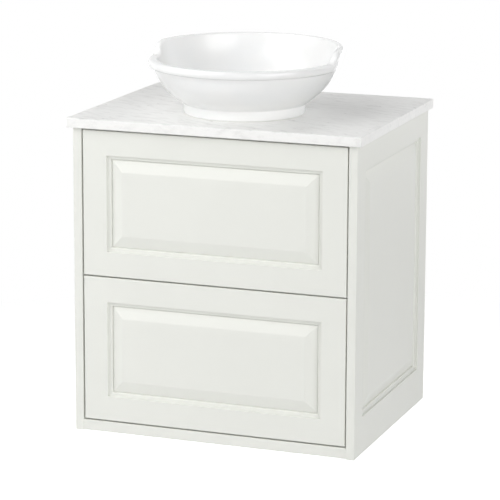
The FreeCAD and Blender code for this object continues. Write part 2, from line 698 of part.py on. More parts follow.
def outlet(here):
    """An elbow back to the wall, ending in a socket with a lip seal let into its bore."""
    stub, here = straight(here, Z, BEND_STUB)
    turn, here = bend(here, Z, Y, BEND_RADIUS)
    link, here = straight(here, Y, SOCKET_LINK)
    length = -SOCKET_FROM_WALL - here.y
    bore = PIPE_RADIUS + SOCKET_CLEARANCE
    socket = ring(bore + SOCKET_WALL, bore, here, Y, length)
    shoulder = ring(bore + SOCKET_WALL, PIPE_RADIUS - PIPE_WALL, here - Y * SOCKET_LINK, Y, SOCKET_LINK)
    groove_at = here + Y * (length - SEAL_FROM_MOUTH - SEAL_GROOVE_LENGTH)
    groove = rod(bore + SEAL_GROOVE_DEPTH, groove_at, Y, SEAL_GROOVE_LENGTH)
    whole = stub.fuse(turn).fuse(link).fuse(shoulder).fuse(socket.cut(groove))
    share("outlet_elbow", whole.removeSplitter())
    share("outlet_seal", ring(bore + SEAL_GROOVE_DEPTH, bore, groove_at, Y, SEAL_GROOVE_LENGTH))


# Runners, in distances from the side panel's inner face

def runner_middle_z(bottom):
    return bottom + BOX_ABOVE_FRONT_EDGE + BOX_HEIGHT * RUNNER_HEIGHT_SHARE


def runner_screw_seats(side):
    """Screws through the cabinet sections into one side panel, both drawers."""
    x = side * (INNER_X - RUNNER_SHEET)
    front = FRONT_BACK_Y + RUNNER_FRONT_CLEARANCE
    return [V(x, front + BOX_LENGTH * part, runner_middle_z(bottom))
            for bottom in (LOWER_FRONT_Z, UPPER_FRONT_Z) for part in RUNNER_SCREW_SHARES]


def member_screw_seats(side, bottom):
    """Screws through the drawer section into the box's side."""
    x = side * (INNER_X - RUNNER_SPACE + RUNNER_SHEET)
    front = FRONT_BACK_Y + RUNNER_FRONT_CLEARANCE
    return [V(x, front + BOX_LENGTH * part, runner_middle_z(bottom)) for part in MEMBER_SCREW_SHARES]


def section_bar(side, bottom, spans):
    """Strips of sheet along Y; a span is its distances from the side and from the middle height."""
    front = FRONT_BACK_Y + RUNNER_FRONT_CLEARANCE
    along = (front, front + BOX_LENGTH)
    middle = runner_middle_z(bottom)
    bars = []
    for across, up in spans:
        bars.append(block([side * (INNER_X - u) for u in across], along, [middle + w for w in up]))
    return bars[0].fuse(bars[1:]).removeSplitter()


def cabinet_section(side, bottom):
    half = RUNNER_HEIGHT / 2
    web, flange = (0, RUNNER_SHEET), (0, RUNNER_DEPTH)
    spans = [(web, (-half, half)), (flange, (CABINET_INSIDE, half)), (flange, (-half, -CABINET_INSIDE))]
    bar = section_bar(side, bottom, spans)
    return bar.cut(Part.makeCompound([screw_hole(seat, X * side) for seat in runner_screw_seats(side)]))


def middle_section(side, bottom):
    web = (MIDDLE_WEB_AT, MIDDLE_WEB_AT + RUNNER_SHEET)
    flange = (RUNNER_SHEET + MIDDLE_STANDOFF, RUNNER_SPACE - RUNNER_SHEET - SECTION_CLEARANCE)
    upper, lower = (MIDDLE_INNER, MIDDLE_OUTER), (-MIDDLE_OUTER, -MIDDLE_INNER)
    return section_bar(side, bottom, [(web, (-MIDDLE_OUTER, MIDDLE_OUTER)), (flange, upper), (flange, lower)])


def drawer_section(side, bottom):
    half = MEMBER_OUTSIDE
    web = (RUNNER_SPACE - RUNNER_SHEET, RUNNER_SPACE)
    flange = (MEMBER_FLANGE_FROM, RUNNER_SPACE)
    upper, lower = (half - RUNNER_SHEET, half), (-half, RUNNER_SHEET - half)
    bar = section_bar(side, bottom, [(web, (-half, half)), (flange, upper), (flange, lower)])
    holes = [screw_hole(seat, X * -side) for seat in member_screw_seats(side, bottom)]
    return bar.cut(Part.makeCompound(holes))


def balls(bottom):
    """Rows of balls above and below, between the outer pair and the inner pair of sections."""
    row_length = BALL_PITCH * (BALLS_PER_ROW - 1)
    start = FRONT_BACK_Y + RUNNER_FRONT_CLEARANCE + (BOX_LENGTH - row_length) / 2
    middle = runner_middle_z(bottom)
    outer_row = (RUNNER_DEPTH / 2, (CABINET_INSIDE + MIDDLE_OUTER) / 2)
    inner_row = ((MEMBER_FLANGE_FROM + RUNNER_SPACE - RUNNER_SHEET) / 2, (MIDDLE_INNER + MEMBER_OUTSIDE) / 2)
    spheres = []
    for across, level in (outer_row, inner_row):
        for side in (-1, 1):
            for way in (-1, 1):
                for step in range(BALLS_PER_ROW):
                    place = V(side * (INNER_X - across), start + step * BALL_PITCH, middle + way * level)
                    spheres.append(Part.makeSphere(BALL_RADIUS, place))
    return Part.makeCompound(spheres)


def push_units():
    """Sealed push-to-open cartridges under the back ends of the cabinet sections."""
    back = FRONT_BACK_Y + RUNNER_FRONT_CLEARANCE + BOX_LENGTH
    units = []
    for bottom in (LOWER_FRONT_Z, UPPER_FRONT_Z):
        top = runner_middle_z(bottom) - RUNNER_HEIGHT / 2
        for side in (-1, 1):
            across = (side * INNER_X, side * (INNER_X - UNIT_DEPTH))
            unit = block(across, (back - UNIT_LENGTH, back), (top - UNIT_HEIGHT, top))
            units.append(rounded(unit, EDGE_ROUND, lambda box: box.XLength > UNIT_DEPTH / 2))
    share("push_open_units", Part.makeCompound(units))


def runners(drawer, bottom):
    for side, hand in ((-1, "left"), (1, "right")):
        share(drawer + "_runner_cabinet_" + hand, cabinet_section(side, bottom))
        share(drawer + "_runner_middle_" + hand, middle_section(side, bottom))
        share(drawer + "_runner_drawer_" + hand, drawer_section(side, bottom))
    share(drawer + "_runner_balls", balls(bottom))


# Drawers

def front_screw_seats(bottom):
    """Screws from inside the box into the front panel."""
    low = bottom + BOX_ABOVE_FRONT_EDGE
    half = INNER_X - RUNNER_SPACE
    return [V(-half + 2 * half * part, FRONT_BACK_Y + BOX_BOARD, low + BOX_HEIGHT * up)
            for part in FRONT_SCREW_SHARES for up in FRONT_SCREW_HEIGHT_SHARES]


def front_screw(seat, slack=0.0):
    """Longer than the rest, since it crosses the inner front and bites the panel."""
    shank = rod(SCREW_RADIUS + slack, seat, -Y, BOX_BOARD + FRONT_BOARD / 2 + slack)
    return shank.fuse(rod(SCREW_HEAD_RADIUS + slack, seat, Y, SCREW_HEAD_HEIGHT))


def bottom_board(bottom):
    """The box's thin bottom, let into a groove in all four boards round it."""
    inner = INNER_X - RUNNER_SPACE - BOX_BOARD + BOX_GROOVE
    front = FRONT_BACK_Y + BOX_BOARD - BOX_GROOVE
    back = FRONT_BACK_Y + BOX_LENGTH - BOX_BOARD + BOX_GROOVE
    low = bottom + BOX_ABOVE_FRONT_EDGE + BOX_BOTTOM_LIFT
    return block((-inner, inner), (front, back), (low, low + BOX_BOTTOM))


def box_side(side, bottom):
    """One long board of the box, its upper edges softened."""
    outer = INNER_X - RUNNER_SPACE
    low = bottom + BOX_ABOVE_FRONT_EDGE
    top = low + BOX_HEIGHT
    across = (side * outer, side * (outer - BOX_BOARD))
    board = block(across, (FRONT_BACK_Y, FRONT_BACK_Y + BOX_LENGTH), (low, top))
    board = rounded(board, BOX_EDGE_ROUND, lambda box: box.ZMin > top - FIT and box.YLength > BOX_BOARD)
    holes = [screw_hole(seat, X * -side) for seat in member_screw_seats(side, bottom)]
    return board.cut(Part.makeCompound([bottom_board(bottom)] + holes))


def drawer_box(drawer, bottom):
    base = bottom_board(bottom)
    shanks = Part.makeCompound([front_screw(seat, FIT) for seat in front_screw_seats(bottom)])
    inner = INNER_X - RUNNER_SPACE - BOX_BOARD
    low = bottom + BOX_ABOVE_FRONT_EDGE
    across, height = (-inner, inner), (low, low + BOX_HEIGHT)
    back = FRONT_BACK_Y + BOX_LENGTH
    inner_front = block(across, (FRONT_BACK_Y, FRONT_BACK_Y + BOX_BOARD), height)
    rear = block(across, (back - BOX_BOARD, back), height)
    share(drawer + "_drawer_side_left", box_side(-1, bottom))
    share(drawer + "_drawer_side_right", box_side(1, bottom))
    share(drawer + "_drawer_inner_front", inner_front.cut(base).cut(shanks))
    share(drawer + "_drawer_back", rear.cut(base))
    share(drawer + "_drawer_bottom", base)
    share(drawer + "_drawer_front", drawer_front(bottom).cut(shanks))
    screws = [front_screw(seat) for seat in front_screw_seats(bottom)]
    for side in (-1, 1):
        screws += [screw(seat, X * -side) for seat in member_screw_seats(side, bottom)]
    share(drawer + "_drawer_screws", Part.makeCompound(screws))


carcass()
brackets_and_screws()
worktop()
basin()
waste_fitting()
waste_pipes()
push_units()
for drawer, bottom in (("upper", UPPER_FRONT_Z), ("lower", LOWER_FRONT_Z)):
    runners(drawer, bottom)
    drawer_box(drawer, bottom)

os.makedirs("parts", exist_ok=True)
for name, shape in parts.items():
    shape.exportStep(os.path.join("parts", name + ".step"))
    solids = shape.Solids
    print("%-28s %3d solid(s)  volume %10.1f  valid %s" % (name, len(solids), shape.Volume, shape.isValid()))
print(len(parts), "nodes; origin", ORIGIN_Z, "above the sides' feet")
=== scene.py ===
import json
import math

import bpy
import numpy as np
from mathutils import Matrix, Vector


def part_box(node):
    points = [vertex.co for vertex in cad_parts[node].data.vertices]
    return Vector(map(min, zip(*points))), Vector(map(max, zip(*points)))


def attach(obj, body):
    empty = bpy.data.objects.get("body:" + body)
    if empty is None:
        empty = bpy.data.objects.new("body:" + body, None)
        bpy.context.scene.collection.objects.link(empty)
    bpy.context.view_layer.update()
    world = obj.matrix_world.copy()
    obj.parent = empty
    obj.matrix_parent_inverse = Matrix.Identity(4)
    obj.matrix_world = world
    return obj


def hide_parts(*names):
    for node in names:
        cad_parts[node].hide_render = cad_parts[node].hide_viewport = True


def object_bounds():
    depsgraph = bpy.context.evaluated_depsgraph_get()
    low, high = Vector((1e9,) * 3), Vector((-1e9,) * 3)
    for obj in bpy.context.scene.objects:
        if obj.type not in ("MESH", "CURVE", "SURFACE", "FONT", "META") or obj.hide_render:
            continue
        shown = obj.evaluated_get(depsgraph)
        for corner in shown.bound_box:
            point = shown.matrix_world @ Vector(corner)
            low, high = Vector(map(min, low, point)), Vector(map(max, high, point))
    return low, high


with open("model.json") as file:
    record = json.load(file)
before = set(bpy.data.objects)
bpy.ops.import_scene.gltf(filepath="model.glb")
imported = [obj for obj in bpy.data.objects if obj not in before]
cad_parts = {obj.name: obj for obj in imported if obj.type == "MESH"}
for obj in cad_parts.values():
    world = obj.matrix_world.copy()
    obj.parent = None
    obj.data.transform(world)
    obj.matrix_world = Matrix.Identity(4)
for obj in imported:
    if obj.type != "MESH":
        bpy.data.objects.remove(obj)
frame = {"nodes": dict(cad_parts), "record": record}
cad_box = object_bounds()

# Drawer fronts: two inset fibreboard panels, routed from the face to a step, a hollow, a small
# round and a bevelled field, then sprayed with a satin off-white lacquer that fills the grooves a
# little, with painted shade in the moulding's inner corners. Each is screwed to its drawer box from
# the inside.

FRAME_WIDTH = 0.051
STEP_DEPTH = 0.0046
HOLLOW_WIDTH = 0.0062
HOLLOW_DEPTH = 0.0054
ROUND_WIDTH = 0.0022
MOULDING_DEPTH = 0.0100
CREVICE_WIDTH = 0.0008
BEVEL_WIDTH = 0.024
BEVEL_UPSTAND = 0.0008
BEVEL_ROUND = 0.0014
FIELD_DROP = 0.0007
ARRIS = 0.0016
BACK_ARRIS = 0.0004
STEP_ROUND = 0.0003
FIELD_ROUND = 0.002
# How far the painted shade reaches from the moulding's inner corners.
GROOVE_SHADE_REACH = 0.0016
TOP_EASE = 0.0015
ARC_POINTS = 7
SHARP_DEGREES = 30


def rows(share, inset, height):
    """Rows of a section: a share of the frame's width, an inset past it and a height."""
    return np.stack(np.broadcast_arrays(share, inset, height), -1).reshape(-1, 3)


def bend(start, corner, end, points=ARC_POINTS):
    """A curve tangent to both legs of a corner: (1-t)^2 start + 2t(1-t) corner + t^2 end."""
    start, corner, end = np.array(start, float), np.array(corner, float), np.array(end, float)
    t = np.linspace(0, 1, points).reshape((-1,) + (1,) * start.ndim)
    return (1 - t) ** 2 * start + 2 * t * (1 - t) * corner + t ** 2 * end


def routed_section(thickness):
    """The section from the back's edge, round the front arris and through the moulding.

    The arris, the step's edge, the hollow and the round are quarter circles or ellipses. The
    bevel is straight, rises from a small rounded upstand, and bends into the field.
    """
    turn = np.linspace(0, math.pi / 2, ARC_POINTS)
    foot = HOLLOW_WIDTH + ROUND_WIDTH + CREVICE_WIDTH
    slope = (MOULDING_DEPTH - BEVEL_UPSTAND - FIELD_DROP) / BEVEL_WIDTH
    top = foot + BEVEL_WIDTH
    start = BEVEL_UPSTAND - MOULDING_DEPTH
    upstand = bend((foot, start - BEVEL_UPSTAND), (foot, start),
                   (foot + BEVEL_ROUND, start + BEVEL_ROUND * slope))
    field = bend((top - FIELD_ROUND, -FIELD_DROP - FIELD_ROUND * slope), (top, -FIELD_DROP),
                 (top + FIELD_ROUND, -FIELD_DROP))
    return np.concatenate([
        rows(0, BACK_ARRIS, -thickness),
        rows(0, 0, BACK_ARRIS - thickness),
        rows(0, ARRIS * (1 - np.cos(turn)), -ARRIS * (1 - np.sin(turn))),
        rows(1, -STEP_ROUND * (1 - np.sin(turn)), -STEP_ROUND * (1 - np.cos(turn))),
        rows(1, HOLLOW_WIDTH * (1 - np.cos(turn)),
             -STEP_DEPTH - (HOLLOW_DEPTH - STEP_DEPTH) * np.sin(turn)),
        rows(1, HOLLOW_WIDTH + ROUND_WIDTH * np.sin(turn),
             -HOLLOW_DEPTH - (MOULDING_DEPTH - HOLLOW_DEPTH) * (1 - np.cos(turn)))[1:],
        rows(1, upstand[:, 0], upstand[:, 1]),
        rows(1, field[:, 0], field[:, 1])])


def grid_faces(lines, points, wrap_lines=False, wrap_points=False):
    """Four-sided faces of a grid of points; a way that is wrapped joins its last to its first."""
    line = np.arange(lines if wrap_lines else lines - 1)
    point = np.arange(points if wrap_points else points - 1)
    i, j = np.meshgrid(line, point, indexing="ij")
    i_next, j_next = (i + 1) % lines, (j + 1) % points
    corners = (i * points + j, i * points + j_next, i_next * points + j_next, i_next * points + j)
    return np.stack(corners, -1).reshape(-1, 4)


def new_piece(name, points, faces, body, material, replaces, sharp=SHARP_DEGREES):
    """A smooth-shaded piece on its body, sharp along the edges that turn past the angle."""
    mesh = bpy.data.meshes.new(name)
    mesh.from_pydata(points.reshape(-1, 3).tolist(), [], [list(map(int, face)) for face in faces])
    mesh.materials.append(material)
    mesh.shade_smooth()
    mesh.set_sharp_from_angle(angle=math.radians(sharp))
    piece = bpy.data.objects.new(name, mesh)
    bpy.context.scene.collection.objects.link(piece)
    level = piece.modifiers.new("level_normals", "WEIGHTED_NORMAL")
    level.keep_sharp = True
    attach(piece, body)
    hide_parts(*replaces)
    return piece


def routed_panel(node, body, across, outward, margins, material, ease=0.0):
    """A routed board in its node's place.

    Each row of the section becomes a rectangle of four corners, set in from the board's edges
    by its share of the margin plus its inset; the rectangles are joined ring by ring, and the
    first and the last are closed. The upper edge is planed down by the ease. A mask for painted
    shade, 1 at the moulding's two inner corners and 0 past their reach, is kept as an attribute.
    """
    low, high = (np.array(corner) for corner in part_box(node))
    up = np.array([0.0, 0.0, 1.0])
    across, outward = np.array(across, float), np.array(outward, float)
    ends = [np.sort([corner @ way for corner in (low, high)]) for way in (across, up, outward)]
    section = routed_section(ends[2][1] - ends[2][0])
    inset = section[:, :1] * np.array(margins) + section[:, 1:2]
    left, right = ends[0][0] + inset[:, 0], ends[0][1] - inset[:, 1]
    below, above = ends[1][0] + inset[:, 2], ends[1][1] - inset[:, 3] - ease * (section[:, 0] == 0)
    u = np.stack([left, right, right, left], -1)
    v = np.stack([below, below, above, above], -1)
    w = np.repeat(ends[2][1] + section[:, 2:], 4, 1)
    points = u[..., None] * across + v[..., None] * up + w[..., None] * outward
    count = len(section)
    last = 4 * (count - 1)
    faces = grid_faces(count, 4, wrap_points=True).tolist()
    faces += [[3, 2, 1, 0], [last, last + 1, last + 2, last + 3]]
    piece = new_piece(node + "_routed", points, faces, body, material, [node])
    mark_mitres(piece.data)
    crevice = HOLLOW_WIDTH + ROUND_WIDTH + CREVICE_WIDTH / 2
    reach = np.minimum(np.abs(section[:, 1]), np.abs(section[:, 1] - crevice)) / GROOVE_SHADE_REACH
    sunk = (section[:, 0] > 0) & (section[:, 2] < -STEP_DEPTH / 2)
    groove_shade = np.where(sunk, 1 - reach, 0).clip(0, 1)
    # The mask of painted shade in the moulding's inner corners, which the lacquer tints darker.
    corner = piece.data.attributes.new("groove_shade", "FLOAT", "POINT")
    corner.data.foreach_set("value", np.repeat(groove_shade, 4).astype(np.float32))


def mark_mitres(mesh):
    """Edges that run from ring to ring along a corner are the mitres, and stay sharp."""
    ends = np.zeros(2 * len(mesh.edges), np.int32)
    mesh.edges.foreach_get("vertices", ends)
    ends = ends.reshape(-1, 2) % 4
    sharp = np.zeros(len(mesh.edges), bool)
    mesh.edges.foreach_get("use_edge_sharp", sharp)
    mesh.edges.foreach_set("use_edge_sharp", sharp | (ends[:, 0] == ends[:, 1]))


class Wire:
    """One value in a material: sums, products and the like add the Math nodes that they need."""

    def __init__(self, tree, socket):
        self.tree = tree
        self.socket = socket

    def node(self, kind, settings, sockets, output=0):
        """A new node: its settings first, then the values or links of its sockets."""
        made = self.tree.nodes.new("ShaderNode" + kind)
        for name, value in settings.items():
            setattr(made, name, value)
        connect(self.tree, made, sockets)
        return Wire(self.tree, made.outputs[output])

    def math(self, operation, first, second):
        """A Math node on two values."""
        return self.node("Math", {"operation": operation}, {0: first, 1: second})

    def __add__(self, other):
        return self.math("ADD", self, other)

    def __sub__(self, other):
        return self.math("SUBTRACT", self, other)

    def __rsub__(self, other):
        return self.math("SUBTRACT", other, self)

    def __mul__(self, other):
        return self.math("MULTIPLY", self, other)

    __radd__ = __add__
    __rmul__ = __mul__

    def between(self, low, high):
        """0 below the low value, 1 above the high one, with an S between."""
        settings = {"interpolation_type": "SMOOTHSTEP"}
        return self.node("MapRange", settings, {"Value": self, "From Min": low, "From Max": high})

    def stretched(self, *scale):
        """A vector times another, axis by axis."""
        return self.node("VectorMath", {"operation": "MULTIPLY"}, {0: self, 1: scale})

    def length(self):
        return self.node("VectorMath", {"operation": "LENGTH"}, {0: self}, 1)

    def part(self, axis):
        """The x, y or z of a vector."""
        return self.node("SeparateXYZ", {}, {0: self}, "XYZ".index(axis))

    def noise(self, scale, detail=2.0, roughness=0.5, output=0):
        """Noise with so many waves to the metre; output 1 is its colour, three noises at once."""
        sockets = {"Vector": self, "Scale": scale, "Detail": detail, "Roughness": roughness}
        return self.node("TexNoise", {}, sockets, output)

    def tint(self, low, high):
        """A colour between two, by this value."""
        return self.node("Mix", {"data_type": "RGBA"}, {0: self, 6: low, 7: high}, 2)

    def bump(self, distance, strength):
        """The normal of a surface that this value raises by up to the distance."""
        return self.node("Bump", {}, {"Height": self, "Distance": distance, "Strength": strength})


def connect(tree, node, sockets):
    """Links each socket that is given a wire, and sets the others to their value."""
    for name, value in sockets.items():
        if isinstance(value, Wire):
            tree.links.new(value.socket, node.inputs[name])
        else:
            node.inputs[name].default_value = value


def finish(name, paint):
    """A new material; paint takes the Object coordinates and gives the shader's sockets."""
    made = bpy.data.materials.new(name)
    made.use_nodes = True
    tree = made.node_tree
    place = Wire(tree, tree.nodes.new("ShaderNodeTexCoord").outputs["Object"])
    connect(tree, tree.nodes["Principled BSDF"], paint(place))
    return made


def rgb(red, green, blue):
    """A colour as it is seen on a screen, 0 to 255, made linear."""
    seen = np.array([red, green, blue]) / 255
    linear = np.where(seen <= 0.04045, seen / 12.92, ((seen + 0.055) / 1.055) ** 2.4)
    return (*map(float, linear), 1.0)


LACQUER_CLOUDS = rgb(234, 235, 229), rgb(235, 236, 230)
LACQUER_CLOUDS_PER_M = 9.0
# Painted shade: the grey and the share by which the moulding's inner corners are darkened.
GROOVE_SHADE_COLOUR = rgb(202, 203, 197)
GROOVE_SHADE_TINT = 0.25
PEEL_PER_M = 420.0
SPECKS_PER_M = 1600.0
PEEL_HEIGHT = 0.00003


def satin_lacquer(place):
    """Sprayed lacquer: cloudy by a hair, a faint orange peel, a duller groove, and painted shade
    that darkens the moulding's inner corners.
    """
    groove_shade = place.node("Attribute", {"attribute_name": "groove_shade"}, {}, 2)
    cloud = place.noise(LACQUER_CLOUDS_PER_M, 3.0).between(0.3, 0.7)
    deep = groove_shade.between(0.0, 1.0)
    # Painted shade: the moulding's inner corners are tinted towards a darker grey.
    colour = (deep * GROOVE_SHADE_TINT).tint(cloud.tint(*LACQUER_CLOUDS), GROOVE_SHADE_COLOUR)
    peel = place.noise(PEEL_PER_M) + 0.3 * place.noise(SPECKS_PER_M)
    return {"Base Color": colour, "Roughness": 0.4 + 0.05 * cloud + 0.12 * deep,
            "Normal": peel.bump(PEEL_HEIGHT, 0.5), "Coat Weight": 0.06, "Coat Roughness": 0.22}


lacquer = finish("lacquered_board", satin_lacquer)
for drawer, ease in (("upper", TOP_EASE), ("lower", 0.0)):
    routed_panel(drawer + "_drawer_front", drawer + "_drawer", (1, 0, 0), (0, -1, 0),
                 (FRAME_WIDTH,) * 4, lacquer, ease)

# Side panels: the same board and moulding, over the cabinet's whole height. Their moulding lines
# up with that of the fronts, so it sits higher above the lower edge. The front rail under the
# lower drawer, and the bottom board behind it, have the same lacquer.

side_low, side_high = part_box("side_panel_right")
MARGIN_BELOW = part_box("lower_drawer_front")[0].z + FRAME_WIDTH - side_low.z
MARGIN_ABOVE = side_high.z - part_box("upper_drawer_front")[1].z + FRAME_WIDTH
for node, way in (("side_panel_left", -1), ("side_panel_right", 1)):
    routed_panel(node, "cabinet", (0, way, 0), (way, 0, 0),
                 (FRAME_WIDTH, FRAME_WIDTH, MARGIN_BELOW, MARGIN_ABOVE), lacquer)

SAME_POINT = 1e-6


def even_curves(limit):
    """Joins a node's loose triangles and shades them smooth, but for edges past the angle."""
    group = bpy.data.node_groups.new("even_curves", "GeometryNodeTree")
    group.interface.new_socket("Geometry", in_out="INPUT", socket_type="NodeSocketGeometry")
    group.interface.new_socket("Geometry", in_out="OUTPUT", socket_type="NodeSocketGeometry")
    kinds = ("NodeGroupInput", "GeometryNodeMergeByDistance", "GeometryNodeSetShadeSmooth",
             "GeometryNodeSetShadeSmooth", "NodeGroupOutput")
    chain = [group.nodes.new(kind) for kind in kinds]
    for before, after in zip(chain, chain[1:]):
        group.links.new(before.outputs[0], after.inputs[0])
    merge, sharpen = chain[1], chain[3]
    merge.inputs["Distance"].default_value = SAME_POINT
    sharpen.domain = "EDGE"
    sharpen.inputs["Shade Smooth"].default_value = False
    angle = group.nodes.new("GeometryNodeInputMeshEdgeAngle")
    turned = group.nodes.new("FunctionNodeCompare")
    turned.operation = "GREATER_THAN"
    turned.inputs["B"].default_value = math.radians(limit)
    group.links.new(angle.outputs["Unsigned Angle"], turned.inputs["A"])
    group.links.new(turned.outputs[0], sharpen.inputs["Selection"])
    return group


even = even_curves(SHARP_DEGREES)


def dress(slot, material):
    """Gives a finish to every CAD node of a material slot, and evens its curved faces."""
    for part in frame["record"]["subparts"]:
        if part["material_slot"] == slot:
            node = frame["nodes"][part["node"]]
            for holder in node.material_slots:
                holder.material = material
            node.modifiers.new("even_curves", "NODES").node_group = even
            node.modifiers.new("level_normals", "WEIGHTED_NORMAL").keep_sharp = True


dress("lacquered_board", lacquer)

# Worktop: a particle-board core under a pressed marble-effect surface: fine short grey strokes,
# a few of them dark, on a warm white. The edges are wrapped in the same sheet, where the press
# leaves the strokes fainter.

WHITE_ON_EDGE, WHITE_ON_TOP = rgb(248, 248, 246), rgb(242, 242, 240)
STROKE_COLOUR = rgb(221, 221, 219)
STROKE_TURN = math.radians(24)
STROKE_STRETCH = 0.3
STROKES_PER_M = 78.0
FINE_STROKES_PER_M = 273.0
DRIFT_PER_M = 7.0
DRIFT_REACH = 0.035
STONE_CLOUDS_PER_M = 11.0
STONE_CLOUD_STRETCH = 0.6
FLECK_COLOUR = rgb(140, 139, 136)
FLECK_TINT = 0.55
FLECK_CELLS_PER_M = (17.0, 24.0)
FLECK_HALF_LENGTH = 0.0055
FLECK_HALF_WIDTH = 0.0026
FLECK_SHARE = 0.34
EDGE_FADE = (0.0025, 0.0005)
EDGE_STRENGTH = 0.42
PRESS_HEIGHT = 0.00002


def flecks(place):
    """Short dark flecks: a grid's cells have a stretched spot each, and most are left out.

    A fleck fades with the distance from its cell's point, over its half length and half width,
    and each has a darkness of its own.
    """
    along, across = FLECK_CELLS_PER_M
    cells = place.stretched(along, across, 0.0)
    chance, point = (cells.node("TexVoronoi", {"voronoi_dimensions": "2D"},
                                {"Vector": cells, "Scale": 1.0}, output) for output in (1, 2))
    gap = cells.node("VectorMath", {"operation": "SUBTRACT"}, {0: cells, 1: point})
    gap = gap.stretched(1 / (along * FLECK_HALF_LENGTH), 1 / (across * FLECK_HALF_WIDTH), 0.0)
    kept = chance.part("X").between(1 - FLECK_SHARE, 1 - FLECK_SHARE + 0.02)
    darkness = chance.part("Y").between(-0.4, 1.0)
    return (1 - gap.length().between(0.1, 1.0)) * kept * darkness


def marble(place):
    """Strokes are noise drawn out along their way and bent by a slower noise.

    Where a slow noise is high they gather into faint clouds, and on the edges, below the top
    face, they fade.
    """
    laid = place.node("VectorRotate", {"rotation_type": "Z_AXIS"},
                      {"Vector": place, "Angle": STROKE_TURN})
    drift = laid.noise(DRIFT_PER_M, 3.0, output=1)
    bent = laid.node("VectorMath", {"operation": "MULTIPLY_ADD"},
                     {0: drift, 1: (DRIFT_REACH,) * 3, 2: laid})
    drawn = bent.stretched(STROKE_STRETCH, 1.0, 1.0)
    stroke = drawn.noise(STROKES_PER_M, 5.0, 0.7)
    fine = drawn.noise(FINE_STROKES_PER_M, 3.0, 0.6)
    wide = bent.stretched(STONE_CLOUD_STRETCH, 1.0, 1.0)
    cloud = wide.noise(STONE_CLOUDS_PER_M, 3.0, 0.6).between(0.36, 0.66)
    top = float(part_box("worktop")[1].z)
    face = place.part("Z").between(top - EDGE_FADE[0], top - EDGE_FADE[1])
    strength = EDGE_STRENGTH + (1 - EDGE_STRENGTH) * face
    grey = stroke.between(0.44, 0.72) * (0.5 + 0.5 * cloud) + 0.25 * fine.between(0.48, 0.8)
    stone = (grey * strength).tint(face.tint(WHITE_ON_EDGE, WHITE_ON_TOP), STROKE_COLOUR)
    colour = (flecks(bent) * strength * FLECK_TINT).tint(stone, FLECK_COLOUR)
    return {"Base Color": colour, "Roughness": 0.3 + 0.1 * stroke,
            "Normal": fine.bump(PRESS_HEIGHT, 0.4)}


dress("worktop_marble", finish("worktop_marble", marble))

# Basin: a slip-cast vitreous bowl on a ring foot, glazed white. Its rim is rolled out over the
# low front, climbs in an S at each side and runs flush into the high back. The foot lies a
# little forward of the rim, on a bed of silicone over the waste's hole.

FOOT_RADIUS = 0.1252
FOOT_BOTTOM_RADIUS = 0.1235
FOOT_HEIGHT = 0.0205
FOOT_INNER_RADIUS = 0.1085
FOOT_FORWARD = 0.009
FOOT_HOLLOW = 0.012
FOOT_ROUND = 0.003
FOOT_INNER_ROUND = 0.001
FOOT_CORNER = 0.003
RIM_LOW = 0.109
RIM_HIGH = 0.135
RISE_START = -0.030
RISE_CORNER = -0.0155
RISE_MIDDLE = (-0.0105, 0.1185)
RISE_END = 0.030
FRONT_WALL_END = (0.1914, 0.100)
FRONT_WALL_BULGE = 0.0114
BACK_WALL_END = (0.1987, 0.130)
BACK_WALL_BULGE = 0.0118
WALL_THICKNESS = 0.0125
BEAD_RADIUS = 0.1985
BEAD_HEIGHT = 0.017
BEAD_ROUND = 0.008
BEAD_LIP = 0.0015
LIP_SHARE = 0.25
BEAD_BOTTOM = RIM_LOW - BEAD_HEIGHT
RIM_ROUND = 0.005
BOWL_TURN_HEIGHT = 0.047
BOWL_EDGE = (0.096, 0.0272)
FLOOR_SLOPE = (0.060, 0.0252)
FLOOR_HEIGHT = 0.024
FLOOR_EDGE_HEIGHT = 0.029
DRAIN_RADIUS = 0.0235
DRAIN_ROUND = 0.001
HOLLOW_FLAT_RADIUS = 0.070
EVEN_TURNS = 150
RISE_TURNS = 45
RISE_REACH = math.radians(13)
RISE_POINTS = (20, 30)
WALL_POINTS = 26
BOWL_TURN_POINTS = 14
RIM_POINTS = 11
BEAD_POINTS = 9
CREASE_POINTS = 5
SMALL_POINTS = 4
BASIN_SHARP_DEGREES = 89
GLAZE_CLOUDS = rgb(247, 248, 248), rgb(250, 250, 249)
GLAZE_CLOUDS_PER_M = 12.0
BARE_COLOUR = rgb(222, 214, 200)
BARE_BELOW = (0.0001, 0.0004)


def base_middle(node):
    """The middle of the lower face of a node's box."""
    low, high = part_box(node)
    return np.array([(low.x + high.x) / 2, (low.y + high.y) / 2, low.z])


def arc_radius(end, bulge, height, inset):
    """Distance from the axis of a circular arc from the foot's top to a rim point, at a height.

    The arc's circle has radius chord^2 / (8 bulge) + bulge / 2; the inset makes it smaller
    about the same centre, which gives the inner wall.
    """
    start, end = np.array([FOOT_RADIUS, FOOT_HEIGHT]), np.array(end)
    chord = end - start
    length = np.hypot(*chord)
    radius = length ** 2 / (8 * bulge) + bulge / 2
    outward = np.array([chord[1], -chord[0]]) / length
    centre = (start + end) / 2 - outward * (radius - bulge)
    return centre[0] + np.sqrt((radius - inset) ** 2 - (height - centre[1]) ** 2)


def rim_height(ahead):
    """The rim's height by its distance behind the axis: level, a tight bend, a steep rise and
    a long bend to the level back. Both bends share the tangent at the rise's middle."""
    y, z = RISE_MIDDLE
    slope = (z - RIM_LOW) / (y - RISE_CORNER)
    shoulder = y + (RIM_HIGH - z) / slope
    rise = np.concatenate([
        bend((RISE_START, RIM_LOW), (RISE_CORNER, RIM_LOW), (y, z), RISE_POINTS[0])[:-1],
        bend((y, z), (shoulder, RIM_HIGH), (RISE_END, RIM_HIGH), RISE_POINTS[1])])
    return np.interp(ahead, rise[:, 0], rise[:, 1])


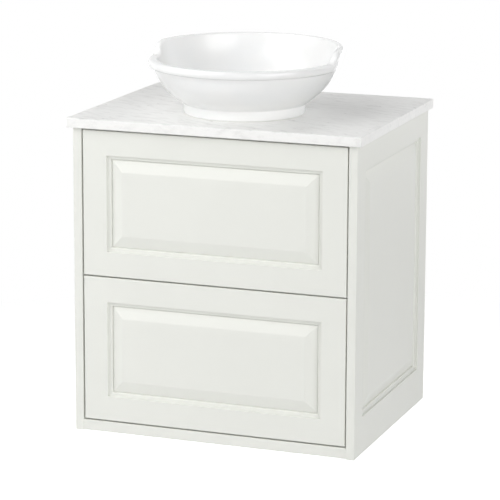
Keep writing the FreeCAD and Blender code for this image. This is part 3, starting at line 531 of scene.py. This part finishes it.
def basin_turns():
    """Directions round the axis in order: close ones where the rim rises on each side, and even
    ones over the back and the front."""
    rise = np.linspace(-RISE_REACH, RISE_REACH / 2, RISE_TURNS)
    back = np.linspace(rise[-1], math.pi - rise[-1], EVEN_TURNS)[1:-1]
    front = np.linspace(math.pi - rise[0], 2 * math.pi + rise[0], EVEN_TURNS)[1:-1]
    return np.concatenate([rise, back, math.pi - rise[::-1], front])


def basin_points(turn):
    """The bowl's skin, as sections round the axis, each from the foot up, over the rim and down.

    The wall blends a front arc and a back arc by (1 + sin of the direction) / 2. The bead goes
    from proud to flush as the rim climbs. A row's last value is how far it leans forward: the
    foot wholly, the outer wall less and less towards the rim, the inside not at all.
    """
    back_share = (1 + np.sin(turn)) / 2

    def wall(height, inset=0.0):
        front = arc_radius(FRONT_WALL_END, FRONT_WALL_BULGE, height, inset)
        back = arc_radius(BACK_WALL_END, BACK_WALL_BULGE, height, inset)
        return front + (back - front) * back_share

    def spot(radius, height, forward=0.0):
        return np.stack(np.broadcast_arrays(radius + 0 * turn, height, forward), -1)

    def foot(radius, height):
        return spot(radius, height, FOOT_FORWARD)

    def outer(radius, height):
        return spot(radius, height, FOOT_FORWARD * np.clip(1 - height / BEAD_BOTTOM, 0, 1))

    rim = rim_height(BEAD_RADIUS * np.sin(turn))
    climb = (rim - RIM_LOW) / (RIM_HIGH - RIM_LOW)
    crease = rim - BEAD_HEIGHT
    edge = BEAD_RADIUS * (1 - climb) + wall(rim) * climb
    inner = wall(rim, WALL_THICKNESS)
    low_edge = BEAD_RADIUS * (1 - climb) + wall(crease + BEAD_ROUND) * climb
    up = np.linspace(0, 1, WALL_POINTS)[:, None]
    wall_foot = FOOT_HEIGHT + FOOT_CORNER
    outer_z = wall_foot + (crease - BEAD_LIP - wall_foot) * up
    inner_z = rim - RIM_ROUND + (BOWL_TURN_HEIGHT - rim + RIM_ROUND) * up
    lip = wall(crease) + (low_edge - wall(crease)) * LIP_SHARE
    return np.concatenate([
        bend(foot(FOOT_BOTTOM_RADIUS - FOOT_ROUND, 0), foot(FOOT_BOTTOM_RADIUS, 0),
             foot(FOOT_BOTTOM_RADIUS, FOOT_ROUND)),
        bend(outer(FOOT_RADIUS, FOOT_HEIGHT - FOOT_CORNER / 2), outer(FOOT_RADIUS, FOOT_HEIGHT),
             outer(wall(wall_foot), wall_foot))[:-1],
        outer(wall(outer_z), outer_z),
        bend(outer(wall(crease - BEAD_LIP), crease - BEAD_LIP), outer(wall(crease), crease),
             outer(lip, crease + BEAD_LIP / 2), CREASE_POINTS)[1:],
        bend(outer(lip, crease + BEAD_LIP / 2), outer(low_edge, crease + BEAD_LIP / 2),
             outer(low_edge, crease + BEAD_ROUND), BEAD_POINTS)[1:],
        bend(spot(edge, rim - BEAD_ROUND), spot(edge, rim), spot(edge - BEAD_ROUND, rim),
             RIM_POINTS),
        bend(spot(inner + RIM_ROUND, rim), spot(inner, rim),
             spot(wall(rim - RIM_ROUND, WALL_THICKNESS), rim - RIM_ROUND), BEAD_POINTS)[:-1],
        spot(wall(inner_z, WALL_THICKNESS), inner_z),
        bend(spot(wall(BOWL_TURN_HEIGHT, WALL_THICKNESS), BOWL_TURN_HEIGHT),
             spot(wall(FLOOR_EDGE_HEIGHT, WALL_THICKNESS), FLOOR_EDGE_HEIGHT), spot(*BOWL_EDGE),
             BOWL_TURN_POINTS)[1:],
        [spot(*FLOOR_SLOPE)],
        bend(spot(DRAIN_RADIUS + DRAIN_ROUND, FLOOR_HEIGHT), spot(DRAIN_RADIUS, FLOOR_HEIGHT),
             spot(DRAIN_RADIUS, FLOOR_HEIGHT - DRAIN_ROUND), SMALL_POINTS),
        [spot(DRAIN_RADIUS, FOOT_HOLLOW)],
        bend(spot(HOLLOW_FLAT_RADIUS, FOOT_HOLLOW), foot(FOOT_INNER_RADIUS, FOOT_HOLLOW),
             foot(FOOT_INNER_RADIUS, FOOT_ROUND), CREASE_POINTS),
        bend(foot(FOOT_INNER_RADIUS, FOOT_INNER_ROUND), foot(FOOT_INNER_RADIUS, 0),
             foot(FOOT_INNER_RADIUS + FOOT_INNER_ROUND, 0), SMALL_POINTS)])


def turned_points(turn, section, middle):
    """Points of a section carried round an upright axis: (r cos t, r sin t, z) from the middle."""
    radius, height = section[..., 0], section[..., 1]
    return np.stack([radius * np.cos(turn), radius * np.sin(turn), height + 0 * turn], -1) + middle


def ceramic(place):
    """Glaze: white and smooth, a hair cloudy from the firing; bare and dull under the foot."""
    bare = 1 - (place.part("Z") - float(basin_middle[2])).between(*BARE_BELOW)
    cloud = place.noise(GLAZE_CLOUDS_PER_M).between(0.3, 0.7)
    return {"Base Color": bare.tint(cloud.tint(*GLAZE_CLOUDS), BARE_COLOUR),
            "Roughness": 0.2 + 0.03 * cloud + 0.45 * bare, "IOR": 1.5,
            "Coat Weight": 0.12 - 0.12 * bare, "Coat Roughness": 0.12}


basin_middle = base_middle("basin")
basin_turn = basin_turns()
basin_section = basin_points(basin_turn)
basin_skin = turned_points(basin_turn, basin_section, basin_middle)
basin_skin[..., 1] -= basin_section[..., 2]
new_piece("basin_glazed", basin_skin, grid_faces(len(basin_section), len(basin_turn), True, True),
          "cabinet", finish("basin_ceramic", ceramic), ["basin"],
          BASIN_SHARP_DEGREES)

# Silicone and rubber: the basin's bed and the flange's washer are white sanitary silicone, the
# clamping washers and the outlet's lip seal are black rubber. The bed is squeezed out to the
# foot's edge and wiped off there.

BED_EDGE = 0.0008
BED_TURNS = 180
BED_SHARP_DEGREES = 50
SILICONE_WHITES = rgb(236, 236, 232), rgb(243, 243, 240)
TOOLING_PER_M = 240.0
TOOLING_HEIGHT = 0.0001
RUBBER_COLOUR, RUBBER_BLOOM = rgb(38, 38, 40), rgb(66, 66, 67)
RUBBER_BLOOM_PER_M = 60.0
RUBBER_GRAIN_PER_M = 1500.0
RUBBER_GRAIN_HEIGHT = 0.00005


def silicone(place):
    """Tooled silicone: soft sheen, a slightly uneven surface."""
    uneven = place.noise(TOOLING_PER_M, 3.0)
    return {"Base Color": uneven.tint(*SILICONE_WHITES), "Roughness": 0.34 + 0.1 * uneven,
            "Normal": uneven.bump(TOOLING_HEIGHT, 0.4)}


def black_rubber(place):
    """Moulded rubber: dull, with a fine grain and a grey bloom."""
    grain = place.noise(RUBBER_GRAIN_PER_M, 3.0)
    bloom = place.noise(RUBBER_BLOOM_PER_M, 3.0).between(0.4, 0.8)
    return {"Base Color": bloom.tint(RUBBER_COLOUR, RUBBER_BLOOM),
            "Roughness": 0.62 + 0.12 * grain, "Normal": grain.bump(RUBBER_GRAIN_HEIGHT, 0.5)}


sealant = finish("silicone", silicone)
dress("silicone", sealant)
bed_turn = np.linspace(0, 2 * math.pi, BED_TURNS, endpoint=False)
bed_low, bed_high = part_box("basin_seal")[0].z, float(basin_middle[2])
bed_outer, bed_inner = FOOT_BOTTOM_RADIUS - BED_EDGE, FOOT_INNER_RADIUS + BED_EDGE
bed_section = np.concatenate([
    bend((bed_outer + BED_EDGE, bed_low), (bed_outer, bed_low), (bed_outer, bed_high)),
    bend((bed_inner, bed_high), (bed_inner, bed_low), (bed_inner - BED_EDGE, bed_low))])
bed_section = bed_section[:, None, :] + 0 * bed_turn[:, None]
bed_middle = basin_middle * (1, 1, 0) - (0, FOOT_FORWARD, 0)
new_piece("basin_bed_squeezed", turned_points(bed_turn, bed_section, bed_middle),
          grid_faces(len(bed_section), BED_TURNS, True, True), "cabinet", sealant,
          ["basin_seal"], BED_SHARP_DEGREES)
dress("rubber", finish("rubber", black_rubber))

# Waste: a chromed brass body pulled down on the basin's floor by a brass ring nut, with a domed
# push plug whose stem slides in a plastic spider.

PLUG_EDGE_ROUND = 0.0009
PLUG_SIDE_SHARE = 0.4
PLUG_SIDE_ROUND = 0.0005
PLUG_SHOULDER_WIDTH = 0.0012
PLUG_SHOULDER_HEIGHT = 0.0003
PLUG_FLAT_SHARE = 0.45
PLUG_ROUND_POINTS = 5
PLUG_DOME_POINTS = 16
PLUG_TURNS = 128
PLUG_SHARP_DEGREES = 40
CHROME_COLOUR, SPOT_COLOUR = rgb(226, 228, 230), rgb(214, 217, 220)
WIPES_PER_M = 220.0
WIPE_STRETCH = 0.2
SPOTS_PER_M = 90.0
BRASS_COLOUR, BRASS_BLOOM = rgb(222, 191, 122), rgb(188, 154, 88)
BRASS_BLOOM_PER_M = 70.0
LATHE_RINGS_PER_M = 2600.0
LATHE_RING_STRETCH = 0.05
LATHE_RING_HEIGHT = 0.00004


def chrome(place):
    """Chrome plate: mirror bright, with a trace of wiping marks and water spots."""
    wiped = place.stretched(1.0, WIPE_STRETCH, 1.0).noise(WIPES_PER_M, 3.0)
    spots = place.noise(SPOTS_PER_M, 3.0).between(0.58, 0.74)
    return {"Base Color": spots.tint(CHROME_COLOUR, SPOT_COLOUR), "Metallic": 1.0,
            "Roughness": 0.06 + 0.05 * wiped + 0.1 * spots}


def brass(place):
    """Raw turned brass: fine lathe rings across the axis and a dull, browned bloom."""
    ringed = place.stretched(LATHE_RING_STRETCH, LATHE_RING_STRETCH, 1.0)
    bloom = place.noise(BRASS_BLOOM_PER_M, 4.0).between(0.35, 0.75)
    return {"Base Color": bloom.tint(BRASS_COLOUR, BRASS_BLOOM), "Metallic": 1.0,
            "Roughness": 0.26 + 0.2 * bloom,
            "Normal": ringed.noise(LATHE_RINGS_PER_M).bump(LATHE_RING_HEIGHT, 0.6)}


def solid_of_turning(section, turns, middle):
    """Points and faces of a section carried round an axis that it starts and ends on.

    Each of its two poles is one point, joined to the ring beside it by triangles.
    """
    turn = np.linspace(0, 2 * math.pi, turns, endpoint=False)
    belt = turned_points(turn, section[1:-1, None, :], middle)
    poles = np.array([(0.0, 0.0, section[0, 1]), (0.0, 0.0, section[-1, 1])]) + middle
    points = np.concatenate([belt.reshape(-1, 3), poles])
    count = len(section) - 2
    faces = grid_faces(count, turns, wrap_points=True).tolist()
    here = np.arange(turns)
    following = (here + 1) % turns
    last = (count - 1) * turns
    first_pole, last_pole = count * turns, count * turns + 1
    faces += np.stack([following, here, 0 * here + first_pole], -1).tolist()
    faces += np.stack([last + here, last + following, 0 * here + last_pole], -1).tolist()
    return points, faces


plate = finish("chrome", chrome)
dress("chrome", plate)
dress("brass_nut", finish("brass_nut", brass))
plug_low, plug_high = (np.array(corner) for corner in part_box("plug_cap"))
plug_radius = (plug_high[0] - plug_low[0]) / 2
plug_top = plug_high[2] - plug_low[2]
plug_side = PLUG_SIDE_SHARE * plug_top
shoulder = (plug_radius - PLUG_SHOULDER_WIDTH, plug_side + PLUG_SHOULDER_HEIGHT)
plug_section = np.concatenate([
    [(0.0, 0.0)],
    bend((plug_radius - PLUG_EDGE_ROUND, 0.0), (plug_radius, 0.0),
         (plug_radius, PLUG_EDGE_ROUND), PLUG_ROUND_POINTS),
    bend((plug_radius, plug_side - PLUG_SIDE_ROUND), (plug_radius, plug_side), shoulder,
         PLUG_ROUND_POINTS),
    bend(shoulder, (PLUG_FLAT_SHARE * plug_radius, plug_top), (0.0, plug_top),
         PLUG_DOME_POINTS)[1:]])
plug_points, plug_faces = solid_of_turning(plug_section, PLUG_TURNS, base_middle("plug_cap"))
new_piece("plug_cap_domed", plug_points, plug_faces, "plug", plate, ["plug_cap"],
          PLUG_SHARP_DEGREES)

# Trap and waste pipes: white polypropylene tube and bends under fluted slip nuts, taken to the
# back so that the drawers clear them. The plug's spider and the push-to-open cartridges are
# grey moulded plastic.

PIPE_WHITES = rgb(232, 233, 231), rgb(241, 241, 239)
PIPE_CLOUDS_PER_M = 25.0
PIPE_GRAIN_PER_M = 1300.0
PIPE_GRAIN_HEIGHT = 0.00004
GREYS = rgb(150, 152, 154), rgb(168, 170, 171)
GREY_GRAIN_PER_M = 900.0
GREY_GRAIN_HEIGHT = 0.00006


def white_plastic(place):
    """Moulded polypropylene: slightly milky, a fine spark-eroded grain."""
    grain = place.noise(PIPE_GRAIN_PER_M, 3.0)
    return {"Base Color": place.noise(PIPE_CLOUDS_PER_M, 3.0).tint(*PIPE_WHITES),
            "Roughness": 0.36 + 0.08 * grain, "Normal": grain.bump(PIPE_GRAIN_HEIGHT, 0.5)}


def grey_plastic(place):
    """Glass-filled plastic: mid grey with a coarser grain."""
    grain = place.noise(GREY_GRAIN_PER_M, 4.0)
    return {"Base Color": grain.tint(*GREYS), "Roughness": 0.45 + 0.12 * grain,
            "Normal": grain.bump(GREY_GRAIN_HEIGHT, 0.6)}


dress("white_plastic", finish("white_plastic", white_plastic))
dress("grey_plastic", finish("grey_plastic", grey_plastic))

# Drawer boxes and hidden rails: particle board faced with white melamine, pressed with a fine
# wood pore, its edges banded. The drawer bottoms are thin board in a matt white foil.

MELAMINE_WHITES = rgb(232, 233, 231), rgb(237, 238, 236)
MELAMINE_CLOUDS_PER_M = 5.0
PORE_COLOUR = rgb(216, 216, 212)
PORE_TINT = 0.35
PORES_PER_M = 620.0
PORE_STRETCH = (1.0, 0.12, 0.6)
PORE_DEPTH = 0.00005
FOIL_WHITES = rgb(233, 233, 230), rgb(240, 240, 238)
SPECKLE_PER_M = 1100.0
SPECKLE_HEIGHT = 0.00002


def melamine(place):
    """Pressed pores: noise drawn out most along Y; the white is a shade cooler than the lacquer."""
    pores = place.stretched(*PORE_STRETCH).noise(PORES_PER_M, 4.0, 0.6).between(0.5, 0.75)
    white = place.noise(MELAMINE_CLOUDS_PER_M, 3.0).tint(*MELAMINE_WHITES)
    return {"Base Color": (pores * PORE_TINT).tint(white, PORE_COLOUR),
            "Roughness": 0.42 + 0.1 * pores, "Normal": (1 - pores).bump(PORE_DEPTH, 0.5)}


def foil(place):
    """Matt paper foil: a faint even speckle."""
    speckle = place.noise(SPECKLE_PER_M, 3.0).between(0.4, 0.7)
    return {"Base Color": speckle.tint(*FOIL_WHITES), "Roughness": 0.55 + 0.08 * speckle,
            "Normal": speckle.bump(SPECKLE_HEIGHT, 0.4)}


dress("drawer_board", finish("drawer_board", melamine))
dress("drawer_bottom", finish("drawer_bottom", foil))

# Runners, brackets and fixings: roll-formed strip with a bright zinc plate, steel balls, screws
# with a duller plate, and die-cast cams.

ZINC_COLOURS = rgb(196, 199, 203), rgb(212, 214, 216)
ZINC_BLOOM_PER_M = 45.0
ROLLING_LINES_PER_M = 900.0
ROLLING_STRETCH = 0.03
ROLLING_HEIGHT = 0.00003
STEEL_COLOURS = rgb(186, 189, 193), rgb(206, 208, 211)
GREASE_PER_M = 700.0
SCREW_COLOURS = rgb(182, 184, 186), rgb(204, 205, 206)
PITS_PER_M = 1800.0
PIT_HEIGHT = 0.00003
CAST_COLOURS = rgb(168, 169, 171), rgb(190, 191, 192)
CAST_SKIN_PER_M = 800.0
CAST_SKIN_HEIGHT = 0.00006


def zinc_sheet(place):
    """Zinc plate on rolled strip: long faint rolling lines and a cloudy, slightly blue bloom."""
    lines = place.stretched(1.0, ROLLING_STRETCH, 1.0).noise(ROLLING_LINES_PER_M, 3.0)
    bloom = place.noise(ZINC_BLOOM_PER_M, 4.0).between(0.3, 0.7)
    return {"Base Color": bloom.tint(*ZINC_COLOURS), "Metallic": 1.0,
            "Roughness": 0.28 + 0.12 * bloom, "Normal": lines.bump(ROLLING_HEIGHT, 0.5)}


def steel_ball(place):
    """Ground steel: bright, with a film of grease."""
    film = place.noise(GREASE_PER_M)
    return {"Base Color": film.tint(*STEEL_COLOURS), "Metallic": 1.0,
            "Roughness": 0.12 + 0.12 * film}


def plated_screw(place):
    """Barrel-plated steel: fine pits and a dull bloom."""
    pits = place.noise(PITS_PER_M, 3.0)
    return {"Base Color": pits.tint(*SCREW_COLOURS), "Metallic": 1.0,
            "Roughness": 0.3 + 0.15 * pits, "Normal": pits.bump(PIT_HEIGHT, 0.5)}


def cast_metal(place):
    """Die-cast zinc: grey, with a soft cast skin."""
    skin = place.noise(CAST_SKIN_PER_M, 4.0)
    return {"Base Color": skin.tint(*CAST_COLOURS), "Metallic": 1.0,
            "Roughness": 0.42 + 0.15 * skin, "Normal": skin.bump(CAST_SKIN_HEIGHT, 0.6)}


dress("zinc_steel", finish("zinc_steel", zinc_sheet))
dress("ball_steel", finish("ball_steel", steel_ball))
dress("screw_steel", finish("screw_steel", plated_screw))
dress("cast_zinc", finish("cast_zinc", cast_metal))

# Floor: a plain pale floor below the hung cabinet. It keeps the cabinet's soft shadow, and
# further out it is plain white to the camera and in reflections.

FLOOR_DROP = 0.30
FLOOR_SIZE = 14.0
FLOOR_COLOUR = 0.82
FLOOR_SEEN = 2.2
FLOOR_LIT_TO = (0.7, 2.2)


def white_seen(tree):
    """1 for a ray from the camera, a mirror or glass, and 0 for the light that bounces."""
    path = tree.nodes.new("ShaderNodeLightPath")
    rays = ("Is Camera Ray", "Is Glossy Ray", "Is Transmission Ray")
    camera, glossy, through = (Wire(tree, path.outputs[ray]) for ray in rays)
    return camera.math("MAXIMUM", camera, camera.math("MAXIMUM", glossy, through))


def floor_piece():
    """A flat square under the object, clear from below.

    To the rays that see white its colour is past white, so that only the cabinet's shadow shows
    on it, and by the distance from the frame's origin it goes from lit to plain white.
    """
    half = FLOOR_SIZE / 2
    level = cad_box[0][2] - FLOOR_DROP
    mesh = bpy.data.meshes.new("floor")
    ends = ((-half, -half), (half, -half), (half, half), (-half, half))
    mesh.from_pydata([(x, y, level) for x, y in ends], [], [(0, 1, 2, 3)])
    made = bpy.data.materials.new("floor")
    made.use_nodes = True
    tree = made.node_tree
    tree.nodes.clear()
    seen = white_seen(tree)
    place = Wire(tree, tree.nodes.new("ShaderNodeTexCoord").outputs["Object"])
    shade = seen * (FLOOR_SEEN - FLOOR_COLOUR) + FLOOR_COLOUR
    tone = seen.node("CombineColor", {}, {0: shade, 1: shade, 2: shade})
    lit = seen.node("BsdfDiffuse", {}, {"Color": tone})
    white = seen.node("Emission", {}, {"Color": (1, 1, 1, 1), "Strength": 1.0})
    far = seen * place.length().between(*FLOOR_LIT_TO)
    above = seen.node("MixShader", {}, {0: far, 1: lit, 2: white})
    under = seen.node("NewGeometry", {}, {}, "Backfacing")
    clear = seen.node("BsdfTransparent", {}, {})
    surface = seen.node("MixShader", {}, {0: under, 1: above, 2: clear})
    output = tree.nodes.new("ShaderNodeOutputMaterial")
    tree.links.new(surface.socket, output.inputs["Surface"])
    mesh.materials.append(made)
    floor = bpy.data.objects.new("floor", mesh)
    bpy.context.scene.collection.objects.link(floor)


floor_piece()

# Light: a faint surround and six large soft lamps: three from the left, of which the high one
# gives the worktop its shadow to the right of the basin, one from the front right, farther away
# so that it lights the side evenly, and two weak ones behind.

SURROUND = 0.05
SIZE_PER_DISTANCE = 0.75
NEAR, FAR = 4.0, 8.0
LAMPS = {"front_left": (-35, 35, NEAR, 75), "low_left": (-60, 5, NEAR, 42),
         "high_left": (-90, 58, NEAR, 46), "front_right": (55, 18, FAR, 365),
         "behind_right": (150, 30, NEAR, 24), "behind_low": (180, -12, NEAR, 28)}


def surround():
    """The world: white to the camera, and less as light."""
    world = bpy.data.worlds.new("surround")
    world.use_nodes = True
    tree = world.node_tree
    strength = white_seen(tree) * (1 - SURROUND) + SURROUND
    connect(tree, tree.nodes["Background"], {"Color": (1, 1, 1, 1), "Strength": strength})
    bpy.context.scene.world = world


def soft_lamp(name, turn, rise, distance, watts):
    """A square lamp that faces the object's middle, by its turn from the front, to the right,
    its rise above the level, both in degrees, and its distance."""
    lamp = bpy.data.lights.new(name, "AREA")
    lamp.energy, lamp.size = watts, distance * SIZE_PER_DISTANCE
    turn, rise = math.radians(turn), math.radians(rise)
    level = math.cos(rise)
    way = np.array([level * math.sin(turn), -level * math.cos(turn), math.sin(rise)])
    holder = bpy.data.objects.new(name, lamp)
    holder.location = (np.array(cad_box[0]) + np.array(cad_box[1])) / 2 + way * distance
    holder.rotation_euler = (math.pi / 2 - rise, 0, turn)
    bpy.context.scene.collection.objects.link(holder)


surround()
for lamp_name, (turn, rise, distance, watts) in LAMPS.items():
    soft_lamp(lamp_name, turn, rise, distance, watts)

# Camera: the photograph's angle, from the front right and a little above. A small shift and a
# pitch stand in for its upright view, so that the object stays in the picture from other sides.

CAMERA_PLACE = (1.777, -5.117, 1.1975)
CAMERA_YAW = 21.25
CAMERA_PITCH = 11.59
CAMERA_LENS = 184.97
CAMERA_SHIFT = (0.10, -0.10)
view = bpy.data.cameras.new("camera")
view.lens = CAMERA_LENS
view.shift_x, view.shift_y = CAMERA_SHIFT
camera = bpy.data.objects.new("camera", view)
camera.location = CAMERA_PLACE
camera.rotation_euler = (math.radians(90 - CAMERA_PITCH), 0, math.radians(CAMERA_YAW))
bpy.context.scene.collection.objects.link(camera)
bpy.context.scene.camera = camera
bpy.context.scene.view_settings.view_transform = "Standard"
